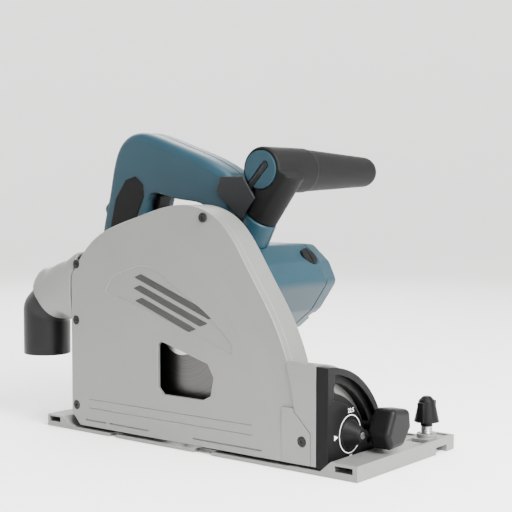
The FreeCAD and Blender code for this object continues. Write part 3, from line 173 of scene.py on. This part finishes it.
def grained(name, dark, light, worn, settings, grain_mm, depth_mm, radius_mm, cloud_mm):
    """Material with cloudy tone between two colours, paler edges, uneven gloss and a fine grain."""
    made, tree, shader, place = surface(name, settings)
    grain = add(tree, "ShaderNodeTexNoise", {"Scale": per_metre(grain_mm), "Detail": 4.0, "Roughness": 0.6},
                {"Vector": place})
    cloud = add(tree, "ShaderNodeTexNoise", {"Scale": per_metre(cloud_mm), "Detail": 3.0}, {"Vector": place})
    normal, edge = rounded_normal(tree, radius_mm, grain.outputs["Fac"], depth_mm)
    tone = add(tree, "ShaderNodeMix", {"data_type": "RGBA", 6: linear(dark), 7: linear(light)},
               {0: cloud.outputs["Fac"]})
    speck = add(tree, "ShaderNodeMix", {"data_type": "RGBA", "blend_type": "OVERLAY", 0: 0.12},
                {6: tone.outputs[2], 7: grain.outputs["Color"]})
    rub = add(tree, "ShaderNodeMath", {"operation": "MULTIPLY", 1: 0.45}, {0: edge})
    coloured = add(tree, "ShaderNodeMix", {"data_type": "RGBA", 7: linear(worn)},
                   {0: rub.outputs[0], 6: speck.outputs[2]})
    gloss = shader.inputs["Roughness"].default_value
    rough = add(tree, "ShaderNodeMapRange", {"To Min": gloss - 0.06, "To Max": gloss + 0.08},
                {"Value": grain.outputs["Fac"]})
    tree.links.new(coloured.outputs[2], shader.inputs["Base Color"])
    tree.links.new(rough.outputs["Result"], shader.inputs["Roughness"])
    tree.links.new(normal, shader.inputs["Normal"])
    return made


def finished(node, title, metal, voxel_mm=0.0, rounds=0, crease=32):
    """Clean mesh of a piece: joined, smooth up to a crease angle, or remeshed and rounded off.

    Edges beside one flat, square-on face stay sharp, so a gentle bend next to a flat shows as a line.
    """
    weld, sliver, square_on = 0.000002, 0.000001, 0.99999
    mesh = frame["nodes"][node].data.copy()
    mesh.name = title
    work = bmesh.new()
    work.from_mesh(mesh)
    bmesh.ops.remove_doubles(work, verts=work.verts, dist=weld)
    bmesh.ops.dissolve_degenerate(work, dist=sliver, edges=work.edges)
    for edge in work.edges:
        bend = math.degrees(edge.calc_face_angle(0)) if len(edge.link_faces) == 2 else 180
        flats = sum(max(abs(c) for c in face.normal) > square_on for face in edge.link_faces)
        edge.smooth = voxel_mm > 0 or bend < 1 or (bend < crease and flats != 1)
    for face in work.faces:
        face.smooth = True
    work.to_mesh(mesh)
    work.free()
    piece = bpy.data.objects.new(title, mesh)
    bpy.context.scene.collection.objects.link(piece)
    if voxel_mm:
        remesh = piece.modifiers.new("even", "REMESH")
        remesh.mode = "VOXEL"
        remesh.voxel_size = voxel_mm / 1000
        remesh.use_smooth_shade = True
        soften = piece.modifiers.new("soften", "SMOOTH")
        soften.factor = 0.5
        soften.iterations = rounds
        bpy.context.view_layer.update()
        made = piece.evaluated_get(bpy.context.evaluated_depsgraph_get())
        shaped = bpy.data.meshes.new_from_object(made)
        piece.modifiers.clear()
        piece.data = shaped
    piece.data.materials.clear()
    piece.data.materials.append(metal)
    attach(piece, body_of[node])
    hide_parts(node)
    return piece


# Die-cast aluminium alloy under a thin grey paint: a neutral mid grey with a fine cast grain that scatters
# the highlights. Grain of 0.5 mm is drawn at 0.9 mm so that it shows.
alloy = grained("painted_die_cast_aluminium", "#666664", "#6E6E6C", "#A0A09E",
                {"Metallic": 0.25, "Roughness": 0.42, "Coat Weight": 0.15, "Coat Roughness": 0.3},
                0.9, 0.03, 0.8, 60)
finished("base_plate", "cast_base", alloy)


# ---- angular guides ----
# Two quadrants of zinc alloy stand on the base, one in front and one behind the blade case.
# They are screwed down from above and powder-coated black; the curved slots hold the bevel clamps.
black_coat = grained("black_powder_coat_on_zinc", "#070708", "#0C0C0D", "#242425",
                     {"Specular IOR Level": 0.1, "Roughness": 0.42}, 0.5, 0.03, 0.6, 30)
finished("front_angular_guide", "front_quadrant", black_coat)
finished("rear_angular_guide", "rear_quadrant", black_coat)

# White pad-printed marks on the front quadrant: a ring round the dial, a pointer and two angles.
# The ink is a raised film a tenth of a millimetre thick, drawn just clear of the coated face.
print_white = grained("white_pad_print", "#DCDCDA", "#EDEDEB", "#F2F2F0", {"Roughness": 0.55},
                      0.3, 0.005, 0.05, 8)
guide_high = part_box("front_angular_guide")[1]
dial_low, dial_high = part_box("positive_stop_dial")
dial_y = (dial_low.y + dial_high.y) / 2
dial_z = (dial_low.z + dial_high.z) / 2
ink_clearance, ink_thickness = 0.00012, 0.0001
print_x = guide_high.x + ink_clearance


def placed(title, mesh, metal, body):
    """Links a new mesh as a piece that rides on a body."""
    piece = bpy.data.objects.new(title, mesh)
    bpy.context.scene.collection.objects.link(piece)
    mesh.materials.append(metal)
    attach(piece, body)
    return piece


def ring_mesh(title, x, y, z, inner, outer, depth):
    """Flat printed ring facing forward."""
    work = bmesh.new()
    loops = []
    count = 72
    for radius, shift in ((inner, 0), (outer, 0), (outer, depth), (inner, depth)):
        loops.append([work.verts.new((x + shift, y + radius * math.cos(2 * math.pi * i / count),
                                      z + radius * math.sin(2 * math.pi * i / count))) for i in range(count)])
    for k in range(4):
        for i in range(count):
            j = (i + 1) % count
            work.faces.new((loops[k][i], loops[k][j], loops[(k + 1) % 4][j], loops[(k + 1) % 4][i]))
    bmesh.ops.recalc_face_normals(work, faces=work.faces)
    mesh = bpy.data.meshes.new(title)
    work.to_mesh(mesh)
    work.free()
    return mesh


ring_inner, ring_outer = 0.0131, 0.0136
dial_ring = ring_mesh("dial_ring_print", print_x, dial_y, dial_z, ring_inner, ring_outer, ink_thickness)
placed("dial_ring_print", dial_ring, print_white, "base")


def plate_mesh(title, corners, thickness, direction):
    """Thin plate with the given corners, thickened along a direction."""
    work = bmesh.new()
    face = work.faces.new([work.verts.new(c) for c in corners])
    grown = bmesh.ops.extrude_face_region(work, geom=[face])
    moved = [v for v in grown["geom"] if isinstance(v, bmesh.types.BMVert)]
    bmesh.ops.translate(work, verts=moved, vec=Vector(direction) * thickness)
    bmesh.ops.recalc_face_normals(work, faces=work.faces)
    mesh = bpy.data.meshes.new(title)
    work.to_mesh(mesh)
    work.free()
    return mesh


pointer_tail, pointer_tip, pointer_half = 0.0195, 0.0150, 0.0018
pointer = [(print_x, dial_y - pointer_tail, dial_z + pointer_half),
           (print_x, dial_y - pointer_tail, dial_z - pointer_half), (print_x, dial_y - pointer_tip, dial_z)]
placed("dial_pointer_print", plate_mesh("dial_pointer_print", pointer, ink_thickness, (1, 0, 0)),
       print_white, "base")


def number_mesh(title, text, size, thickness):
    """Solid lettering that lies in the XY plane and reads from +Z."""
    curve = bpy.data.curves.new(title, "FONT")
    curve.body = text
    curve.size = size
    curve.extrude = thickness
    curve.align_x = "CENTER"
    curve.align_y = "CENTER"
    holder = bpy.data.objects.new(title, curve)
    bpy.context.scene.collection.objects.link(holder)
    bpy.context.view_layer.update()
    made = holder.evaluated_get(bpy.context.evaluated_depsgraph_get())
    mesh = bpy.data.meshes.new_from_object(made)
    bpy.data.objects.remove(holder)
    return mesh


facing_forward = Matrix(((0, 0, 1), (1, 0, 0), (0, 1, 0))).to_4x4()
letter_height, letter_half_depth, mark_shift, mark_reach = 0.0044, 0.00006, 0.001, 0.0165
for title, text, side in (("mark_22", "22.5", 1), ("mark_45", "45", -1)):
    mesh = number_mesh(title, text, letter_height, letter_half_depth)
    mark_place = (print_x, dial_y + mark_shift, dial_z + side * mark_reach)
    mesh.transform(Matrix.Translation(mark_place) @ facing_forward)
    placed(title, mesh, print_white, "base")


# ---- knobs, dials, cams and levers on the base ----
# All of them are injection-moulded glass-filled nylon in black, some with a steel insert screw.
# Handling polishes their high edges, which look a little greyer than the recesses.
nylon = grained("black_glass_filled_nylon", "#080809", "#0E0E0F", "#202021",
                {"Specular IOR Level": 0.12, "Roughness": 0.44}, 0.6, 0.025, 0.8, 18)
for node, title in (("positive_stop_dial", "stop_dial_knob"), ("fence_screw_front", "front_thumb_screw"),
                    ("fence_screw_rear", "rear_thumb_screw"), ("rail_cam_front", "front_rail_adjuster"),
                    ("rail_cam_rear", "rear_rail_adjuster"), ("slide_lever", "rail_latch")):
    finished(node, title, nylon)
finished("bevel_clamp_front", "front_paddle_clamp", nylon, 0.5, 6)
finished("bevel_clamp_rear", "rear_lobe_clamp", nylon, 0.5, 4)

# Bright zinc-plated steel: springs, the dial's screw, shafts, flanges and bearing rings.
plated = grained("zinc_plated_steel", "#A3A3A2", "#BDBDBB", "#D6D6D4", {"Metallic": 1.0, "Roughness": 0.3},
                 0.4, 0.006, 0.25, 12)
for node, title in (("fence_springs", "fence_coils"), ("stop_dial_screw", "dial_slotted_screw"),
                    ("pivot_shaft", "plunge_axle"), ("return_spring", "plunge_spring"),
                    ("spindle", "blade_arbor"), ("inner_flange", "rear_blade_flange"),
                    ("outer_flange", "front_blade_flange"), ("ball_bearings", "bearing_set"),
                    ("spindle_gear", "reduction_gear"),
                    ("armature", "armature_stack"), ("stator_core", "field_laminations")):
    finished(node, title, plated, crease=28)

# Black-oxide steel: socket screws, the blade bolt and the stored hex key, darker in the sockets.
oxide = grained("black_oxide_steel", "#1B1B1C", "#2B2B2C", "#5A5A5A", {"Metallic": 0.85, "Roughness": 0.36},
                0.3, 0.006, 0.3, 8)
for node, title in (("guide_screws", "guide_socket_screws"), ("cover_screws", "cover_socket_screws"),
                    ("housing_screws", "handle_shell_screws"), ("blade_bolt", "arbor_bolt"),
                    ("hex_wrench", "stored_hex_key")):
    finished(node, title, oxide, crease=28)


# ---- blade case and cover ----
# The case is die-cast aluminium like the base; the cover is a matching casting held by five socket screws.
# A sloping shoulder runs round the cover's curved front, and a shallow panel lies above the window.
cover = finished("blade_cover", "case_cover", alloy, crease=24)
case = finished("blade_case", "case_body", alloy, crease=24)

# The dust neck cast onto the case has a low crown: its upper half is drawn down by up to 7 mm, easing in
# from the case wall and out again before the nozzle's seam.
neck_start, neck_end, ease_in, ease_out = -0.130, -0.173, 0.012, 0.010
neck_low, neck_high, neck_draw = 0.105, 0.136, 0.007
for corner in case.data.vertices:
    if neck_end < corner.co.x < neck_start and corner.co.z > neck_low:
        along_neck = min((neck_start - corner.co.x) / ease_in, 1, (corner.co.x - neck_end) / ease_out)
        up_neck = min((corner.co.z - neck_low) / (neck_high - neck_low), 1)
        corner.co.z -= neck_draw * along_neck * up_neck

# The shallow panel, half a millimetre deep, is sunk into the cover's outer face.
cover_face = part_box("blade_cover")[0].y
panel_depth, panel_corner, cutter_clearance = 0.00055, 8, 0.002
panel_outline = [(-89, 116), (-82, 129), (-52, 138.5), (-36, 137.5), (-5, 119.5), (20.5, 104), (43, 85),
                 (43, 76), (-6, 92), (-61, 109), (-86, 114.5)]


def rounded_corners(points, radius, steps):
    """Outline in the XZ plane with every corner turned into a short arc-like curve."""
    out = []
    for i, point in enumerate(points):
        here = Vector(point)
        before = Vector(points[i - 1]) - here
        after = Vector(points[(i + 1) % len(points)]) - here
        reach = min(radius, before.length * 0.45, after.length * 0.45)
        a = here + before.normalized() * reach
        b = here + after.normalized() * reach
        for k in range(steps + 1):
            t = k / steps
            out.append(a * (1 - t) ** 2 + here * 2 * t * (1 - t) + b * t ** 2)
    return out


def prism(title, outline, y0, y1):
    """Closed prism along Y over an outline in millimetres."""
    corners = [(p.x / 1000, y0, p.y / 1000) for p in outline]
    return plate_mesh(title, corners, y1 - y0, (0, 1, 0))


cutter_mesh = prism("panel_cutter", rounded_corners(panel_outline, panel_corner, 6),
                    cover_face - cutter_clearance, cover_face + panel_depth)
cutter = bpy.data.objects.new("panel_cutter", cutter_mesh)
bpy.context.scene.collection.objects.link(cutter)
sink = cover.modifiers.new("panel", "BOOLEAN")
sink.operation = "DIFFERENCE"
sink.solver = "EXACT"
sink.object = cutter
bpy.context.view_layer.update()
cut_cover = cover.evaluated_get(bpy.context.evaluated_depsgraph_get())
sunk = bpy.data.meshes.new_from_object(cut_cover)
cover.modifiers.clear()
cover.data = sunk
bpy.data.objects.remove(cutter)

# Plain trim in the panel: three slanted bars die-cut from gloss black film and stuck on, 0.2 mm proud.
film = grained("gloss_black_film", "#0D0D0E", "#131314", "#2A2A2A", {"Roughness": 0.28}, 0.8, 0.004, 0.1, 20)
slope = math.radians(-20)
along = Vector((math.cos(slope), math.sin(slope)))
rise = Vector((-along.y, along.x))
panel_y = cover_face + panel_depth
bar_half_width, bar_corner, bar_step, film_proud, film_sunk = 2.6, 1.2, -2.0, 0.0002, 0.00002
middle, lean = Vector((-18, 108)), along * 3.0
for index, (length, shift) in enumerate(((82, 9.0), (74, 0.5), (60, -8.0))):
    title = "trim_bar_%d" % index
    centre = middle + rise * shift + along * (index * bar_step)
    half, side = along * length / 2, rise * bar_half_width
    bar = [centre - half - side - lean, centre + half - side - lean,
           centre + half + side + lean, centre - half + side + lean]
    mesh = prism(title, rounded_corners(bar, bar_corner, 4), panel_y - film_proud, panel_y + film_sunk)
    placed(title, mesh, film, "head")


# ---- depth scale, stop and nozzle ----
# A printed aluminium scale is riveted to the motor side of the case; the stop block slides round it.
# The dust nozzle is blow-moulded black plastic with a soft satin skin, turning on its slanted seam.
scale_plate, tree, shader, place = surface("printed_aluminium_scale", {"Metallic": 0.7, "Roughness": 0.4})
brushed = add(tree, "ShaderNodeTexNoise", {"Scale": per_metre(0.8), "Detail": 2.0}, {"Vector": place})
tone = add(tree, "ShaderNodeMix", {"data_type": "RGBA", 6: linear("#B8B8B5"), 7: linear("#CBCBC8")},
           {0: brushed.outputs["Fac"]})
normal = rounded_normal(tree, 0.2, brushed.outputs["Fac"], 0.004)[0]
tree.links.new(tone.outputs[2], shader.inputs["Base Color"])
tree.links.new(normal, shader.inputs["Normal"])
finished("depth_scale", "depth_scale_plate", scale_plate)
finished("depth_stop", "depth_stop_slider", nylon)
finished("depth_stop_knob", "depth_stop_nut", nylon, 0.5, 3)
satin = grained("satin_black_polypropylene", "#0B0B0C", "#111112", "#1C1C1D",
                {"Specular IOR Level": 0.18, "Roughness": 0.38}, 1.2, 0.02, 0.8, 35)
finished("dust_nozzle", "swivel_elbow", satin, 0.8, 8)


# ---- blade ----
# The blade is a laser-cut disc of tool steel, ground on both faces, with carbide-tipped teeth.
# Grinding leaves fine rings about the hub, so light streaks round it; they are 0.9 mm apart here to show.
blade_low, blade_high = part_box("saw_blade")
hub_x = (blade_low.x + blade_high.x) / 2
hub_z = (blade_low.z + blade_high.z) / 2
ground, tree, shader, place = surface("ground_blade_steel", {"Metallic": 1.0, "Roughness": 0.3})
centred = add(tree, "ShaderNodeVectorMath", {"operation": "SUBTRACT", 1: (hub_x, 0, hub_z)}, {0: place})
split = add(tree, "ShaderNodeSeparateXYZ", {}, {0: centred.outputs[0]})
flat = add(tree, "ShaderNodeCombineXYZ", {"Z": 0.0}, {"X": split.outputs["X"], "Y": split.outputs["Z"]})
radius = add(tree, "ShaderNodeVectorMath", {"operation": "LENGTH"}, {0: flat.outputs[0]})
streaks = add(tree, "ShaderNodeTexNoise", {"noise_dimensions": "1D", "Scale": per_metre(0.9), "Detail": 3.0},
              {"W": radius.outputs["Value"]})
tone = add(tree, "ShaderNodeMix", {"data_type": "RGBA", 6: linear("#3F3E3D"), 7: linear("#5C5B59")},
           {0: streaks.outputs["Fac"]})
normal = rounded_normal(tree, 0.15, streaks.outputs["Fac"], 0.01)[0]
rough = add(tree, "ShaderNodeMapRange", {"To Min": 0.24, "To Max": 0.4}, {"Value": streaks.outputs["Fac"]})
tree.links.new(tone.outputs[2], shader.inputs["Base Color"])
tree.links.new(rough.outputs["Result"], shader.inputs["Roughness"])
tree.links.new(normal, shader.inputs["Normal"])
finished("saw_blade", "toothed_disc", ground, crease=20)


# ---- gear housing ----
# The gear housing is a magnesium casting, coated dark grey, bolted between the blade case and the motor.
# It carries the plunge arm, the bearings of the blade shaft and the lock pin for changing blades.
dark_casting = grained("dark_coated_magnesium", "#202123", "#2B2C2E", "#4A4B4D",
                       {"Metallic": 0.2, "Roughness": 0.5}, 0.8, 0.04, 0.9, 40)
finished("gear_housing", "gear_case", dark_casting, crease=24)
finished("bearing_plate", "bearing_carrier", dark_casting)
finished("shaft_lock_button", "spindle_lock_pin", nylon)


# ---- motor ----
# The motor sits in two moulded shells of teal glass-filled nylon with broad flat facets and soft edges.
# The moulds were spark-eroded, which leaves a fine matt grain on the outside.
teal = grained("teal_glass_filled_nylon", "#102A34", "#14313C", "#2E4C57",
               {"Specular IOR Level": 0.25, "Roughness": 0.44}, 0.7, 0.03, 0.8, 50)
finished("motor_housing", "motor_shell", teal, 0.9, 7)
finished("motor_end_cover", "motor_end_shell", teal, 0.8, 5)
finished("brush_caps", "brush_hatches", nylon)
finished("fan_baffle", "air_baffle", nylon)
finished("fan", "cooling_fan", nylon)

# Copper red metal: enamelled windings, the commutator's bars, brass brush tubes and sintered bronze bushes.
copper = grained("enamelled_copper", "#8C4A28", "#A85C34", "#C98A5C", {"Metallic": 0.9, "Roughness": 0.35},
                 0.6, 0.05, 0.3, 6)
for node, title in (("stator_coils", "field_windings"), ("commutator", "commutator_bars"),
                    ("brush_holders", "brush_tubes"), ("pivot_bushes", "plunge_bushes")):
    finished(node, title, copper)

# Pressed and fired carbon: grey-black and dull, with a fine powdery grain.
carbon = grained("pressed_carbon", "#232324", "#2E2E2F", "#3D3D3E", {"Roughness": 0.6}, 0.4, 0.02, 0.2, 5)
finished("carbon_brushes", "brush_blocks", carbon)


# ---- rear handle ----
# Two moulded shells of the same teal nylon close round the switch and are screwed together from the left.
# Their cheeks are crowned and the loop's edges are well rounded, so the hand slides round them.
finished("handle_right", "handle_shell_right", teal, 0.8, 10)
finished("handle_left", "handle_shell_left", teal, 0.8, 10)

# Soft overmoulding is thermoplastic elastomer: near black and dull, with a fine pebble texture.
elastomer = grained("overmoulded_elastomer", "#0B0B0B", "#101010", "#1E1E1E",
                    {"Roughness": 0.62, "Specular IOR Level": 0.12}, 0.8, 0.07, 0.8, 25)
finished("grip_pads", "cheek_pads", elastomer, 0.5, 9)
finished("cord_gland", "cord_sleeve", elastomer)
finished("trigger", "switch_trigger_lever", nylon, 0.5, 5)
finished("lock_off_button", "lock_off_slide", nylon)
finished("switch_body", "switch_block", nylon)
finished("speed_controller", "speed_board_case", nylon)
finished("speed_dial", "speed_thumbwheel", nylon)


# ---- front grip ----
# The front grip is a nylon tube with a neck, overmoulded with elastomer, and clamps to the handle's collar.
# The hex key for the blade bolt is stored in it, its short arm lying in a slot of the teal cap.
finished("front_grip", "auxiliary_grip", elastomer, 0.7, 8)
finished("grip_cap", "key_store_cap", teal)
# The bracket is black ABS; its charcoal grey, a shade paler than the black grip, is painted sheen along its
# flat side.
sheen_painted_abs = grained("black_abs_painted_sheen_grey", "#17181A", "#1E1F21", "#333437",
                   {"Specular IOR Level": 0.15, "Roughness": 0.45}, 0.7, 0.02, 0.8, 20)
finished("grip_bracket", "neck_bracket", sheen_painted_abs, 0.5, 9)
